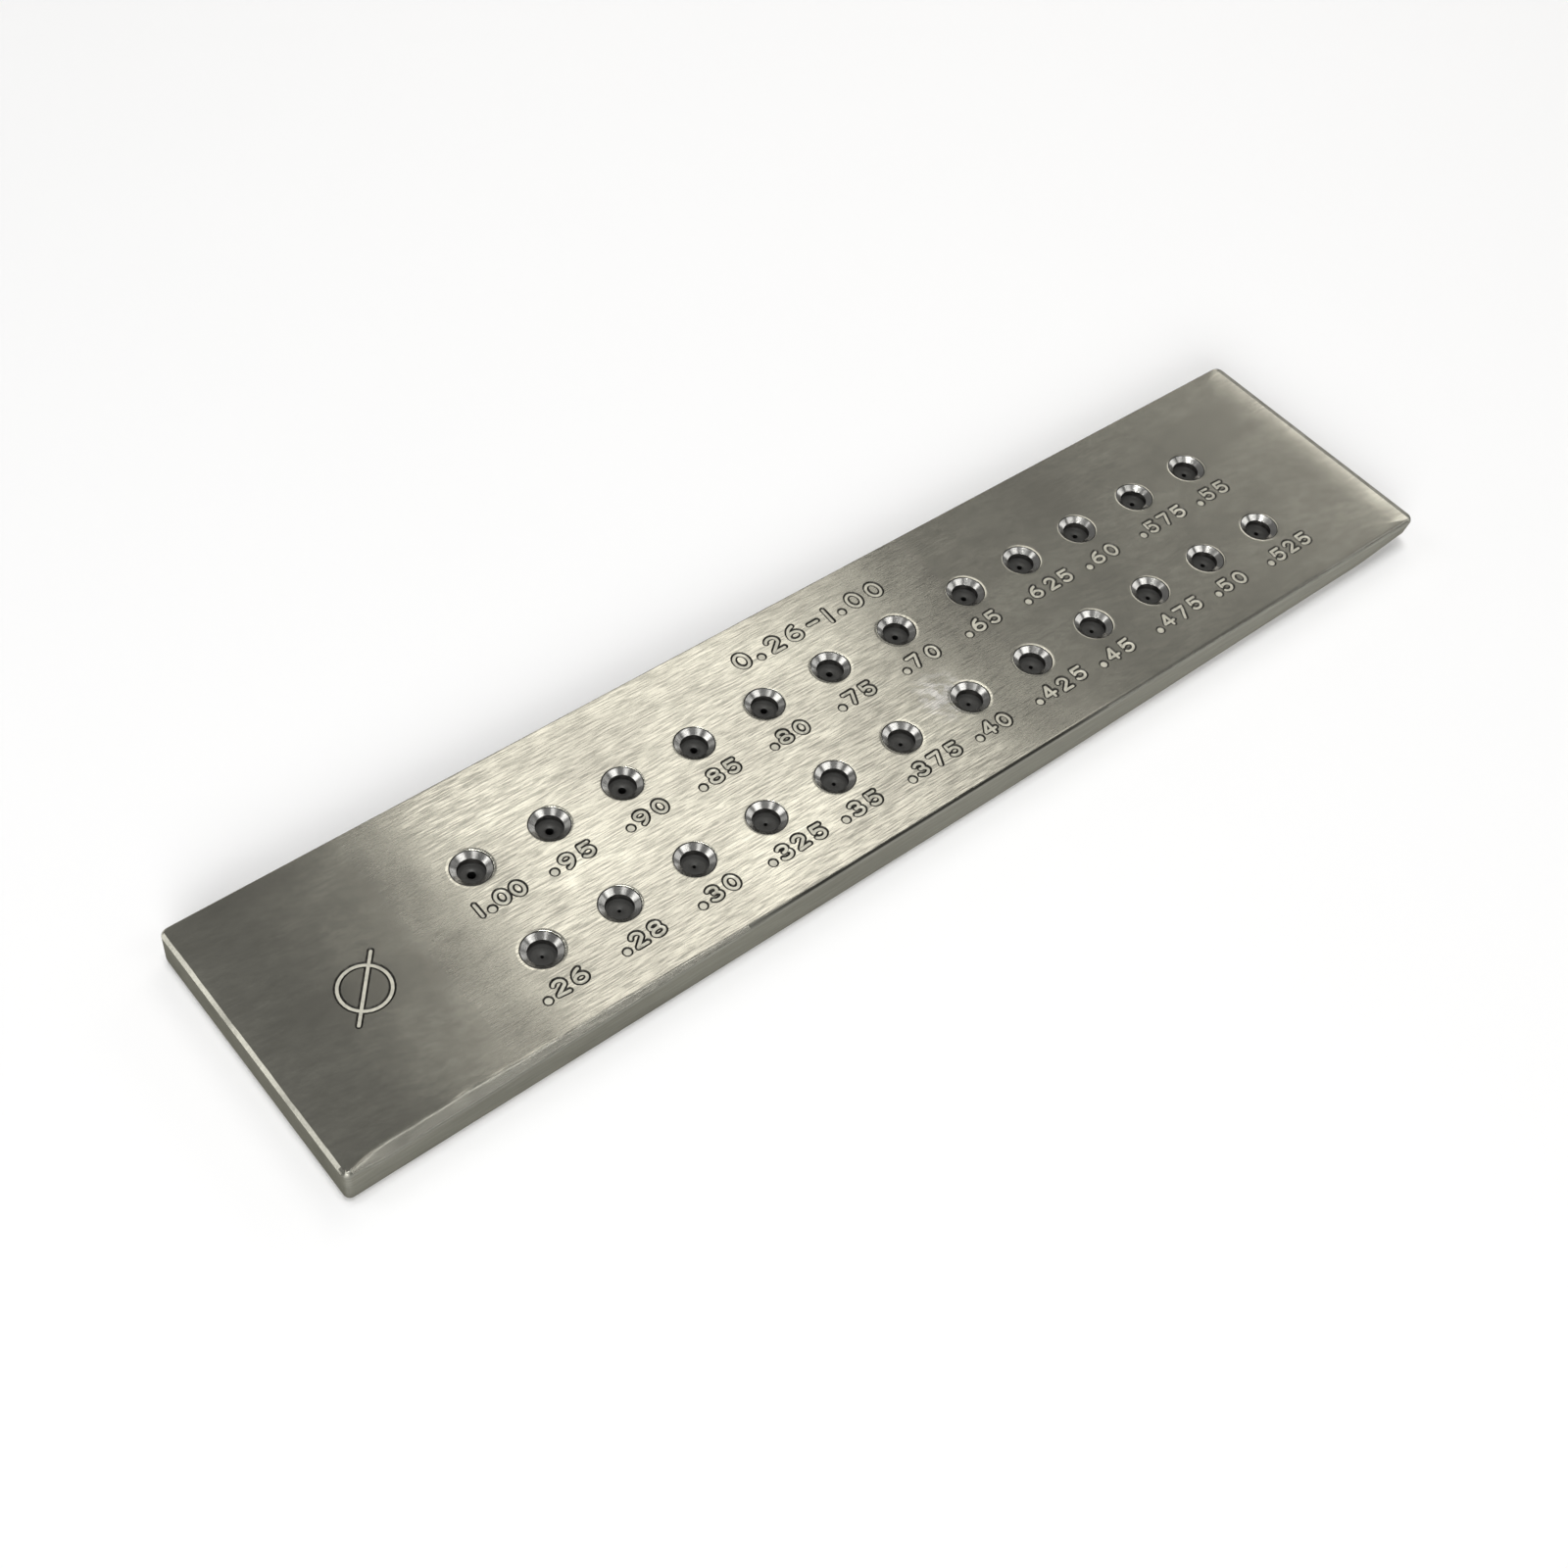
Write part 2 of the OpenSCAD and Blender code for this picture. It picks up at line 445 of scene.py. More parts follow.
# Each figure is a list of strokes as (points, closed)
FIGURES = {
    "0": [(bow(0, 0, 0.4, 0.5, 90, 450)[:-1], True)],
    "1": [(line((0, -0.5), (0, 0.5)), False)],
    "2": [
        (np.concatenate([bow(0, 0.19, 0.37, 0.31, 165, -25), line((-0.34, -0.46))]), False),
        (line((-0.36, -0.5), (0.4, -0.5)), False),
    ],
    "3": [(bow(-0.04, 0.25, 0.35, 0.25, 150, -95), False), (bow(-0.04, -0.23, 0.42, 0.27, 95, -150), False)],
    "4": [
        (line((0.1, 0.5), (-0.42, -0.2)), False),
        (line((-0.42, -0.2), (0.44, -0.2)), False),
        (line((0.15, 0.5), (0.15, -0.5)), False),
    ],
    "5": [
        (line((0.36, 0.5), (-0.3, 0.5)), False),
        (line((-0.3, 0.5), (-0.35, 0.05)), False),
        (bow(-0.02, -0.17, 0.4, 0.33, 138, -150), False),
    ],
    "6": [(bow(0, -0.2, 0.4, 0.3, 0, 360)[:-1], True), (bow(0.3, -0.2, 0.7, 0.7, 180, 98), False)],
    "7": [(line((-0.4, 0.5), (0.4, 0.5)), False), (line((0.4, 0.5), (-0.1, -0.5)), False)],
    "8": [(bow(0, 0.26, 0.34, 0.24, 0, 360)[:-1], True), (bow(0, -0.23, 0.41, 0.27, 0, 360)[:-1], True)],
    "9": [(bow(0, 0.2, 0.4, 0.3, 0, 360)[:-1], True), (bow(-0.3, 0.2, 0.7, 0.7, 0, -82), False)],
    "-": [(line((-0.32, 0), (0.32, 0)), False)],
    "O": [(bow(0, 0, 0.5, 0.5, 0, 360)[:-1], True)],
}


def groove_section(floor_half, lip_half, depth):
    """Half width and height of a punched groove: a slanting wall, and a shoulder that fades into the face.

    The last two rings stand just above the face.
    """
    up = np.linspace(0, 1, 4)
    half = floor_half + (lip_half - SHOULDER_W - floor_half) * up
    height = FRONT - depth + (depth - SHOULDER_SAG) * up
    return np.append(half, [lip_half, lip_half + 0.03]), np.append(height, [FRONT + 0.002, FRONT + 0.04])


def stroke_run(path, closed):
    """A stroke's unit way and left side at each point, and how far to the left and right a groove can reach.

    On the inside of a bend that reach is a share of the curve's radius, which comes from the first and second
    differences, so that the groove doesn't fold over.
    """
    if closed:
        step = (np.roll(path, -1, 0) - np.roll(path, 1, 0)) / 2
        bend = np.roll(path, -1, 0) - 2 * path + np.roll(path, 1, 0)
    else:
        step = np.gradient(path, axis=0)
        bend = np.gradient(step, axis=0)
    pace = np.linalg.norm(step, axis=1)
    curve = (step[:, 0] * bend[:, 1] - step[:, 1] * bend[:, 0]) / pace ** 3
    reach = INNER_REACH / np.maximum(np.abs(curve), 1e-6)
    way = step / pace[:, None]
    side = np.column_stack([-way[:, 1], way[:, 0]])
    return way, side, np.where(curve > 0, reach, np.inf), np.where(curve < 0, reach, np.inf)


def at_heights(plan, height):
    """Rings of plan points, each ring lifted to its own height."""
    return np.concatenate([plan, np.broadcast_to(height[:, None, None], plan.shape[:2] + (1,))], -1)


def open_stroke(path, half, height):
    """The solid of a round-ended stroke: at each height the outline at that half width, filled like a ladder.

    The outline runs up the left side, round the end in steps of a half turn, back down the right side and
    round the start.
    """
    way, side, left_reach, right_reach = stroke_run(path, False)
    turn = np.radians(np.arange(9, 90, 18))[:, None]
    count = len(turn)
    none = np.full(count, np.inf)
    first = np.repeat(path[:1], count, 0)
    last = np.repeat(path[-1:], count, 0)
    base = np.concatenate([first, path, last, last, path[::-1], first])
    toward = np.concatenate([
        side[0] * np.sin(turn) - way[0] * np.cos(turn),
        side,
        side[-1] * np.cos(turn) + way[-1] * np.sin(turn),
        way[-1] * np.cos(turn) - side[-1] * np.sin(turn),
        -side[::-1],
        -side[0] * np.cos(turn) - way[0] * np.sin(turn),
    ])
    reach = np.concatenate([none, left_reach, none, none, right_reach[::-1], none])
    plan = base + np.minimum(half[:, None], reach)[..., None] * toward
    ring = at_heights(plan, height)[:, ::-1]
    rows, cols = ring.shape[:2]
    k = np.arange(cols // 2 - 1)
    ladder = np.column_stack([k, cols - 1 - k, cols - 2 - k, k + 1])
    lid = ladder[:, ::-1] + (rows - 1) * cols
    return ring.reshape(-1, 3), [grid_faces(rows, cols), ladder, lid]


def closed_stroke(path, half, height):
    """The solid of a stroke that closes on itself: the groove's whole section carried round the loop."""
    _, side, left_reach, right_reach = stroke_run(path, True)
    left = np.minimum(half[:, None], left_reach)
    right = np.minimum(half[::-1, None], right_reach)
    plan = path + np.concatenate([left, -right])[..., None] * side
    return looped_shell(at_heights(plan, np.concatenate([height, height[::-1]])))


def spread(path, closed, gap):
    """A stroke's points spaced evenly, about one gap apart."""
    ends = np.concatenate([path, path[:1]]) if closed else path
    run = np.concatenate([[0], np.cumsum(np.linalg.norm(np.diff(ends, axis=0), axis=1))])
    count = max(2, int(round(run[-1] / gap)))
    at = np.linspace(0, run[-1], count + 1)
    even = np.column_stack([np.interp(at, run, ends[:, k]) for k in range(2)])
    return even[:-1] if closed else even


class Stamps:
    """The strokes of all stamped figures, sorted so that no two in one set overlap."""

    def __init__(self):
        self.sets = {}
        self.count = 0

    def add(self, path, closed, section, turn, lean=(0, 0)):
        """One stroke, cut in another turn than those that it may touch. Its floor leans as the punch did."""
        points, faces = (closed_stroke if closed else open_stroke)(path, *section)
        slope = (points[:, :2] - path.mean(0)) @ np.array(lean)
        sunk = np.clip((FRONT - points[:, 2]) / PUNCH_DEPTH, 0, 1)
        points[:, 2] += sunk * np.clip(slope, -LEAN_LIMIT, LEAN_LIMIT)
        self.sets.setdefault(turn, []).append((points, faces))

    def figure(self, character, at, height, tilt, depth):
        """One punched figure at a place, tilted as the hand held the punch."""
        cos, sin = math.cos(tilt), math.sin(tilt)
        spin = np.array([[cos, sin], [-sin, cos]])
        section = groove_section(FLOOR_HALF, LIP_HALF, depth)
        lean = draw.normal(0, PUNCH_LEAN, 2)
        self.count += 1
        for number, (path, closed) in enumerate(FIGURES[character]):
            placed = spread(path * height, closed, STROKE_GAP) @ spin + at
            self.add(placed, closed, section, (self.count % 2, number), lean)

    def dot(self, at, depth):
        """One round dot from a blunt centre punch: a stroke of hardly any length."""
        path = np.array([[-0.01, 0], [0.01, 0]]) + at
        self.count += 1
        self.add(path, False, groove_section(DOT_FLOOR_R, DOT_R, depth), (self.count % 2, 0))

    def row(self, text, middle, height=FIGURE_H, pitch=FIGURE_PITCH):
        """A line of figures about a middle point, each a little off in place, tilt and depth."""
        scale = height / FIGURE_H
        narrow = {".": 1.75, "1": 0.63 * pitch, "-": 0.85 * pitch}
        advance = np.array([narrow.get(c, pitch) for c in text]) * scale
        centre = np.cumsum(advance) - advance / 2 - advance.sum() / 2
        for character, x in zip(text, centre):
            at = np.array(middle) + (x, 0) + draw.normal(0, PUNCH_STRAY, 2)
            depth = PUNCH_DEPTH * (1 + draw.normal(0, PUNCH_UNEVEN))
            tilt = math.radians(draw.normal(0, PUNCH_TILT))
            if character == ".":
                self.dot(at - (0, DOT_DROP * scale), depth)
            else:
                self.figure(character, at, height, tilt, depth)


stamps = Stamps()
for line_y, row in zip(FIGURE_LINES, (holes[:ROW_COUNT], holes[ROW_COUNT:])):
    # The figures were set out evenly, and the holes strayed from them
    marks = np.linspace(row[0]["at"][0], row[-1]["at"][0], ROW_COUNT)
    for hole, mark in zip(row, marks):
        text = stamped(hole["size"])
        shift = LONG_SHIFT if len(text) > SHORT_TEXT else SHORT_SHIFT
        stamps.row(text, (mark + shift, line_y), pitch=FIGURE_PITCH if text[0] == "." else CLOSE_PITCH)
smallest, largest = (pick(hole["size"] for hole in holes) for pick in (min, max))
stamps.row(f"{smallest:.2f}-{largest:.2f}", RANGE_AT, height=RANGE_H, pitch=RANGE_PITCH)

# A diameter sign on the bare end says what the figures measure
SIGN_AT = np.array([-83.5, -0.5])
SIGN_D = 7.0
SIGN_DEPTH = 0.8 * PUNCH_DEPTH
SIGN_GAP = 0.25
sign_section = groove_section(FLOOR_HALF, LIP_HALF, SIGN_DEPTH)
sign_ring = spread(FIGURES["O"][0][0] * SIGN_D, True, SIGN_GAP) + SIGN_AT
sign_slash = spread(line((-0.52, -0.62), (0.52, 0.62)) * SIGN_D, False, SIGN_GAP) + SIGN_AT
stamps.add(sign_ring, True, sign_section, (0, 0))
stamps.add(sign_slash, False, sign_section, (0, 1))


# Nodes of the materials

def material(name):
    """A new node material: itself, its tree and its principled shader."""
    made = bpy.data.materials.new(name)
    made.use_nodes = True
    tree = made.node_tree
    return made, tree, tree.nodes["Principled BSDF"]


def set_sockets(tree, node, **sockets):
    """Sets a node's sockets to values, or joins them to outputs.

    A socket goes by its name, with _ for each space, or by the letter i and its number.
    """
    for key, value in sockets.items():
        numbered = key[0] == "i" and key[1:].isdigit()
        socket = node.inputs[int(key[1:]) if numbered else key.replace("_", " ")]
        if isinstance(value, bpy.types.NodeSocket):
            tree.links.new(value, socket)
        else:
            socket.default_value = value


def add(tree, kind, settings=None, **sockets):
    """One new node with its settings and its sockets."""
    node = tree.nodes.new("ShaderNode" + kind)
    for key, value in (settings or {}).items():
        setattr(node, key, value)
    set_sockets(tree, node, **sockets)
    return node


def times(tree, first, second):
    """The product of two values."""
    return add(tree, "Math", {"operation": "MULTIPLY"}, i0=first, i1=second).outputs[0]


def times_plus(tree, first, second, third):
    """The product of two values, plus a third."""
    return add(tree, "Math", {"operation": "MULTIPLY_ADD"}, i0=first, i1=second, i2=third).outputs[0]


def remap(tree, value, low, high, to_low, to_high, smooth=False):
    """A value stretched from one range to another and held inside it."""
    settings = {"interpolation_type": "SMOOTHSTEP"} if smooth else None
    return add(tree, "MapRange", settings, i0=value, i1=low, i2=high, i3=to_low, i4=to_high).outputs[0]


def object_place(tree):
    """The Object coordinates: as one vector, and as the outputs X, Y and Z."""
    place = add(tree, "TexCoord").outputs["Object"]
    return place, add(tree, "SeparateXYZ", Vector=place).outputs


def middle_run(tree, along, left, right, at_left=0.0, at_right=0.0):
    """1 between two soft limits along X, each as (from, to), and an end's own value beyond each limit."""
    past_left = remap(tree, along, *left, at_left, 1, smooth=True)
    short_of_right = remap(tree, along, *right, 1, at_right, smooth=True)
    return times(tree, past_left, short_of_right)


def stretched_noise(tree, scale, turn=0.0, detail=5.0, rough=0.6, offset=(0, 0, 0)):
    """Noise on Object coordinates with its own scale along each axis, per metre, turned about Z."""
    place = add(tree, "TexCoord").outputs["Object"]
    mapped = add(tree, "Mapping", {"vector_type": "POINT"},
                 Vector=place, Rotation=(0, 0, turn), Location=offset).outputs[0]
    scaled = add(tree, "VectorMath", {"operation": "MULTIPLY"}, i0=mapped, i1=scale).outputs[0]
    return add(tree, "TexNoise", Vector=scaled, Scale=1.0, Detail=detail, Roughness=rough).outputs["Fac"]


def turned_rings(tree, scale, detail, rough):
    """Noise in rings about each hole, on the radius in millimetres that is kept with the mesh."""
    radius = add(tree, "Attribute", {"attribute_name": "hole_radius"}).outputs["Fac"]
    rings = add(tree, "TexNoise", {"noise_dimensions": "1D"},
                W=radius, Scale=scale, Detail=detail, Roughness=rough)
    return rings.outputs["Fac"]


def blend(tree, factor, first, second):
    """A colour between two, by a factor. Each colour is an output or three numbers."""
    first, second = (c if isinstance(c, bpy.types.NodeSocket) else (*c, 1) for c in (first, second))
    return add(tree, "Mix", {"data_type": "RGBA"}, i0=factor, i6=first, i7=second).outputs[2]


def mottled(tree, noise, dark, pale):
    """A colour that wanders from dark to pale over the middle of a noise's range."""
    return blend(tree, remap(tree, noise, 0.35, 0.65, 0, 1), dark, pale)


def bump(tree, height, depth, **under):
    """The normal that a pattern of height gives, as deep as this in metres, over another normal if given."""
    return add(tree, "Bump", Strength=1.0, Distance=depth, Height=height, **under).outputs[0]


# Materials

# Middle of the bright rub between two holes, in metres: in part wear, in part a painted highlight
RUB_GLINT_AT = (0.011, -0.0064, 0.0064)


def ground_steel():
    """Belt-ground steel: fine streaks along X, blotches, scratches and one bright rub, which is in part wear
    and in part a painted highlight.

    Towards both ends the streaks are rubbed smooth, and smeared with darker spots instead.
    """
    made, tree, shader = material("ground_steel")
    fine = stretched_noise(tree, (330, 7000, 1600), turn=0.012, detail=2, rough=0.65)
    broad = stretched_noise(tree, (100, 2300, 700), turn=-0.015, detail=2, offset=(0.3, 0.1, 0))
    blotch = stretched_noise(tree, (55, 110, 110), detail=4, rough=0.55)
    scratch = stretched_noise(tree, (60, 3000, 900), turn=0.35, detail=2, offset=(0.7, 0.2, 0))
    swell = stretched_noise(tree, (60, 60, 60), detail=2, offset=(0.13, 0.4, 0))
    mottle = stretched_noise(tree, (420, 1000, 1000), turn=0.25, detail=4, rough=0.7, offset=(0.4, 0.6, 0))
    rub_glint_noise = stretched_noise(tree, (500, 900, 900), turn=0.7, detail=4, offset=(0.2, 0.5, 0))
    streak = times_plus(tree, fine, 0.86, times(tree, broad, 0.14))
    place, axes = object_place(tree)
    coarse = middle_run(tree, axes["X"], (-0.08, -0.064), (0.012, 0.032), at_left=0.2, at_right=0.3)
    tone = mottled(tree, blotch, (0.59, 0.575, 0.495), (0.77, 0.755, 0.647))
    tone = blend(tree, remap(tree, streak, 0.36, 0.64, 0, 0.1), tone, (0.52, 0.505, 0.435))
    rubbed = add(tree, "Math", {"operation": "SUBTRACT"}, i0=1.0, i1=coarse).outputs[0]
    smear = times(tree, remap(tree, mottle, 0.38, 0.62, 0, 0.65), rubbed)
    tone = blend(tree, smear, tone, (0.56, 0.547, 0.472))
    # The rub's near-white colour is in part wear and in part a painted highlight
    off_rub_glint = add(tree, "VectorMath", {"operation": "DISTANCE"}, i0=place, i1=RUB_GLINT_AT).outputs["Value"]
    near_rub_glint = remap(tree, off_rub_glint, 0.0012, 0.006, 1, 0, smooth=True)
    rub_glint = times(tree, near_rub_glint, remap(tree, rub_glint_noise, 0.45, 0.56, 0, 1))
    tone = blend(tree, rub_glint, tone, (1, 0.99, 0.94))
    nick = remap(tree, scratch, 0.68, 0.74, 0, 1)
    relief = times_plus(tree, nick, -0.25, streak)
    set_sockets(
        tree, shader, Base_Color=tone, Metallic=1.0, Anisotropic=1.0,
        Roughness=times_plus(tree, remap(tree, streak, 0.38, 0.62, -0.1, 0.16), coarse, 0.2),
        Normal=bump(tree, relief, 0.0000022, Normal=bump(tree, swell, 0.0001)),
        Tangent=add(tree, "Tangent", {"direction_type": "UV_MAP", "uv_map": "grind"}).outputs[0],
    )
    return made


def bright_countersink():
    """The polished countersink: bright steel with fine rings left by the cutter."""
    made, tree, shader = material("bright_countersink")
    patch = stretched_noise(tree, (900, 900, 900), detail=3)
    rings = turned_rings(tree, 22.0, 4.0, 0.7)
    set_sockets(
        tree, shader, Metallic=1.0,
        Base_Color=mottled(tree, patch, (0.62, 0.61, 0.58), (0.76, 0.75, 0.71)),
        Roughness=remap(tree, rings, 0.3, 0.7, 0.13, 0.24),
        Normal=bump(tree, rings, 0.000003),
    )
    return made


def hole_wall_shade():
    """The wall between countersink and die, painted dark as shade."""
    made, tree, shader = material("hole_wall_shade")
    patch = stretched_noise(tree, (1200, 1200, 1200), detail=4)
    # Its dark colour is painted shade inside the hole
    set_sockets(
        tree, shader, Metallic=0.6,
        Base_Color=mottled(tree, patch, (0.02, 0.02, 0.018), (0.07, 0.066, 0.06)),
        Roughness=remap(tree, patch, 0.3, 0.7, 0.4, 0.65),
    )
    return made


def stamped_floor():
    """The floor of a stamped figure: steel pressed flat by the punch, a little dull."""
    made, tree, shader = material("stamped_floor")
    patch = stretched_noise(tree, (1500, 1500, 1500), detail=4)
    set_sockets(
        tree, shader, Metallic=1.0,
        Base_Color=mottled(tree, patch, (0.58, 0.567, 0.49), (0.74, 0.722, 0.62)),
        Roughness=remap(tree, patch, 0.3, 0.7, 0.46, 0.58),
        Normal=bump(tree, patch, 0.000006),
    )
    return made


def stamped_wall():
    """A stamped figure's walls: steel torn dull by the punch, painted dark as shade, and paler towards the
    right as painted light.
    """
    made, tree, shader = material("stamped_wall")
    patch = stretched_noise(tree, (2200, 2200, 2200), detail=4)
    _, axes = object_place(tree)
    # Paler towards the right is painted light, and the walls' dark colour is painted shade
    painted_light_at_right = remap(tree, axes["X"], 0.012, 0.05, 0, 0.2, smooth=True)
    painted_wall_shade = mottled(tree, patch, (0.02, 0.0195, 0.017), (0.07, 0.068, 0.06))
    set_sockets(
        tree, shader, Metallic=1.0,
        Base_Color=blend(tree, painted_light_at_right, painted_wall_shade, (0.26, 0.254, 0.222)),
        Roughness=remap(tree, patch, 0.3, 0.7, 0.55, 0.42),
    )
    return made


def edge_steel():
    """The sides and ends: duller, sawn and lightly ground. They are darker than the front, in part as painted
    shade, and palest at the right as painted light; their grey specular tint dims the glancing reflections,
    as painted shade too.

    A dark line of painted shade runs along the top of the long sides, about their middle.
    """
    made, tree, shader = material("edge_steel")
    fine = stretched_noise(tree, (140, 900, 3600), detail=6, rough=0.65)
    blotch = stretched_noise(tree, (70, 160, 260), detail=4)
    _, axes = object_place(tree)
    # The sides' dark base is in part painted shade, and its paler blend towards the right is painted light
    tone = mottled(tree, blotch, (0.25, 0.247, 0.214), (0.315, 0.311, 0.27))
    tone = blend(tree, remap(tree, axes["X"], -0.05, 0.08, 0, 0.9), tone, (0.42, 0.414, 0.37))
    tone = blend(tree, remap(tree, fine, 0.3, 0.7, 0, 0.45), tone, (0.2, 0.197, 0.17))
    # A dark line of painted shade along the top of the long sides, about their middle
    about_middle = middle_run(tree, axes["X"], (-0.038, -0.026), (0.018, 0.034))
    painted_dark_line = times(tree, about_middle, remap(tree, axes["Z"], 0.006, 0.00612, 0, 1))
    # The grey specular tint dims glancing reflections as painted shade
    set_sockets(
        tree, shader, Metallic=1.0, Specular_Tint=(0.35, 0.345, 0.32, 1),
        Base_Color=blend(tree, painted_dark_line, tone, (0.09, 0.088, 0.076)),
        Roughness=remap(tree, fine, 0.3, 0.7, 0.34, 0.5),
        Normal=bump(tree, fine, 0.000004),
    )
    return made


def back_steel():
    """The back face: ground like the front, but coarser and never polished."""
    made, tree, shader = material("back_steel")
    streak = stretched_noise(tree, (120, 2600, 900), turn=-0.015, detail=5, offset=(0.2, 0.6, 0))
    blotch = stretched_noise(tree, (60, 120, 120), detail=4, offset=(0.5, 0.1, 0))
    tone = mottled(tree, blotch, (0.4, 0.39, 0.345), (0.48, 0.47, 0.41))
    set_sockets(
        tree, shader, Metallic=1.0,
        Base_Color=blend(tree, remap(tree, streak, 0.36, 0.64, 0, 0.7), tone, (0.32, 0.313, 0.275)),
        Roughness=remap(tree, streak, 0.36, 0.64, 0.3, 0.42),
        Normal=bump(tree, streak, 0.000004),
    )
    return made


def painted_bore_shade():
    """The inside of a bore, painted near black as shade."""
    made, tree, shader = material("painted_bore_shade")
    patch = stretched_noise(tree, (5000, 5000, 5000), detail=3)
    # Its black colour is painted shade
    set_sockets(
        tree, shader, Roughness=0.5, Specular_IOR_Level=0.2,
        Base_Color=blend(tree, patch, (0.004, 0.004, 0.004), (0.012, 0.012, 0.011)),
    )
    return made


def lapped_carbide():
    """Sintered carbide: near-black grey with a fine grain, lapped in rings about each bore."""
    made, tree, shader = material("lapped_carbide")
    grain = stretched_noise(tree, (9000, 9000, 9000), detail=4)
    rings = turned_rings(tree, 14.0, 3.0, 0.6)
    tone = mottled(tree, grain, (0.03, 0.03, 0.028), (0.06, 0.059, 0.055))
    set_sockets(
        tree, shader, Metallic=0.5,
        Base_Color=blend(tree, remap(tree, rings, 0.4, 0.65, 0, 0.5), tone, (0.085, 0.085, 0.08)),
        Roughness=remap(tree, rings, 0.3, 0.7, 0.35, 0.55),
        Normal=bump(tree, rings, 0.000004),
    )
    return made


def studio_paper():
    """The plain pale floor, with the faintest mottle."""
    made, tree, shader = material("studio_paper")
    mottle = stretched_noise(tree, (6, 6, 6), detail=3)
    set_sockets(
        tree, shader, Roughness=0.9, Specular_IOR_Level=0.0,
        Base_Color=blend(tree, mottle, (0.965, 0.965, 0.965), (0.985, 0.985, 0.985)),
    )
    return made


# The plate

plate = mesh_object("plate_steel", [plate_blank()])
split_faces(plate, COLUMN_SPLITS, ROW_SPLITS)
carve(plate, mesh_object("drilling", [hole_cutter(hole["at"]) for hole in holes]))
for turn in sorted(stamps.sets):
    carve(plate, mesh_object("stamping", stamps.sets[turn]))

# Its finishes, in the order of its material slots
FINISHES = (
    ground_steel, bright_countersink, hole_wall_shade, stamped_floor, edge_steel, stamped_wall, back_steel,
)
FACE, COUNTERSINK, HOLE_WALL, FIGURE_FLOOR, SIDE, FIGURE_WALL, BACK = range(len(FINISHES))
# A face is side once its normal points up by less than this: at the ends, on long sides, on the dull run,
# where the side's darker colour paints shade along the near edge
END_UP = 0.2
LONG_UP = 0.55
DULL_SHADE_UP = 0.93
# The dull run of the near edge, darker there as painted shade: its middle along X, and how far it goes to
# each side
DULL_SHADE_MIDDLE = -4
DULL_SHADE_HALF = 34
# How far the side's finish reaches in from the right end, where its darker colour paints a thin dark line of
# shade, and from both sides of the near left corner
RIGHT_DULL_SHADE_W = 1.2
CORNER_DULL_W = 1.3
CORNER_UP = 0.98
# Figures keep so far away from the ends and from the long sides. Their floors lie deeper and are level
FIGURE_MARGIN = (12, 4)
FIGURE_SUNK = 0.0015
FLOOR_SUNK = 0.05
FLOOR_UP = 0.985
# A hole's walls are steep, and the top rim of its countersink takes the figure walls' dark colour as painted
# shade
WALL_UP = 0.3
SHADE_RIM_W = 0.12
SLACK = 0.01


def corner_data(mesh):
    """Face normals, face middles, points, corner places and each corner's face, as arrays in millimetres."""
    normal = np.empty(len(mesh.polygons) * 3)
    middle = np.empty(len(mesh.polygons) * 3)
    mesh.polygons.foreach_get("normal", normal)
    mesh.polygons.foreach_get("center", middle)
    points = np.empty(len(mesh.vertices) * 3)
    mesh.vertices.foreach_get("co", points)
    total = np.empty(len(mesh.polygons), int)
    mesh.polygons.foreach_get("loop_total", total)
    vertex = np.empty(len(mesh.loops), int)
    mesh.loops.foreach_get("vertex_index", vertex)
    points = points.reshape(-1, 3) / MM
    face = np.repeat(np.arange(len(total)), total)
    return normal.reshape(-1, 3), middle.reshape(-1, 3) / MM, points, points[vertex], face


def nearest_hole(points):
    """Distance in the plane from each point to its nearest hole's axis."""
    centres = np.array([hole["at"] for hole in holes])
    return np.linalg.norm(points[:, None, :2] - centres[None], axis=2).min(1)


def face_finish(normal, middle):
    """Each face's finish, by its normal and its middle. A later line overrules an earlier one."""
    up, z = normal[:, 2], middle[:, 2]
    off_hole = nearest_hole(middle)
    sunk_hole = (off_hole < RIM_R) & (z < FRONT - SLACK)
    inner = (z > BACK_R) & (np.abs(middle[:, :2]) < plate_high[:2] - FIGURE_MARGIN).all(1)
    long_side = np.abs(normal[:, 1]) > np.abs(normal[:, 0])
    # On the dull run the side's darker colour paints a line of shade along the near edge
    dull_shade_run = (normal[:, 1] < -0.3) & (np.abs(middle[:, 0] - DULL_SHADE_MIDDLE) < DULL_SHADE_HALF)
    finish = np.full(len(middle), FACE)
    finish[up < np.where(dull_shade_run, DULL_SHADE_UP, np.where(long_side, LONG_UP, END_UP))] = SIDE
    # The right end's band takes the side's darker colour as a painted line of shade
    finish[(middle[:, 0] > plate_high[0] - RIGHT_DULL_SHADE_W) & (z > BACK_R)] = SIDE
    finish[(middle[:, :2] < plate_low[:2] + CORNER_DULL_W).all(1) & (up < CORNER_UP)] = SIDE
    finish[(up < -0.5) & (z < BACK_R)] = BACK
    finish[inner & (off_hole > RIM_R + LIP_W + 2 * SLACK) & (z < FRONT - FIGURE_SUNK)] = FIGURE_WALL
    finish[(finish == FIGURE_WALL) & (z < FRONT - FLOOR_SUNK) & (up > FLOOR_UP)] = FIGURE_FLOOR
    finish[sunk_hole & (up > WALL_UP)] = COUNTERSINK
    # The countersink's dark top rim is painted shade
    finish[(finish == COUNTERSINK) & (off_hole > RIM_R - SHADE_RIM_W)] = FIGURE_WALL
    finish[sunk_hole & (np.abs(up) < WALL_UP)] = HOLE_WALL
    finish[sunk_hole & (z < DIE_TOP + SLACK)] = HOLE_WALL
    return finish


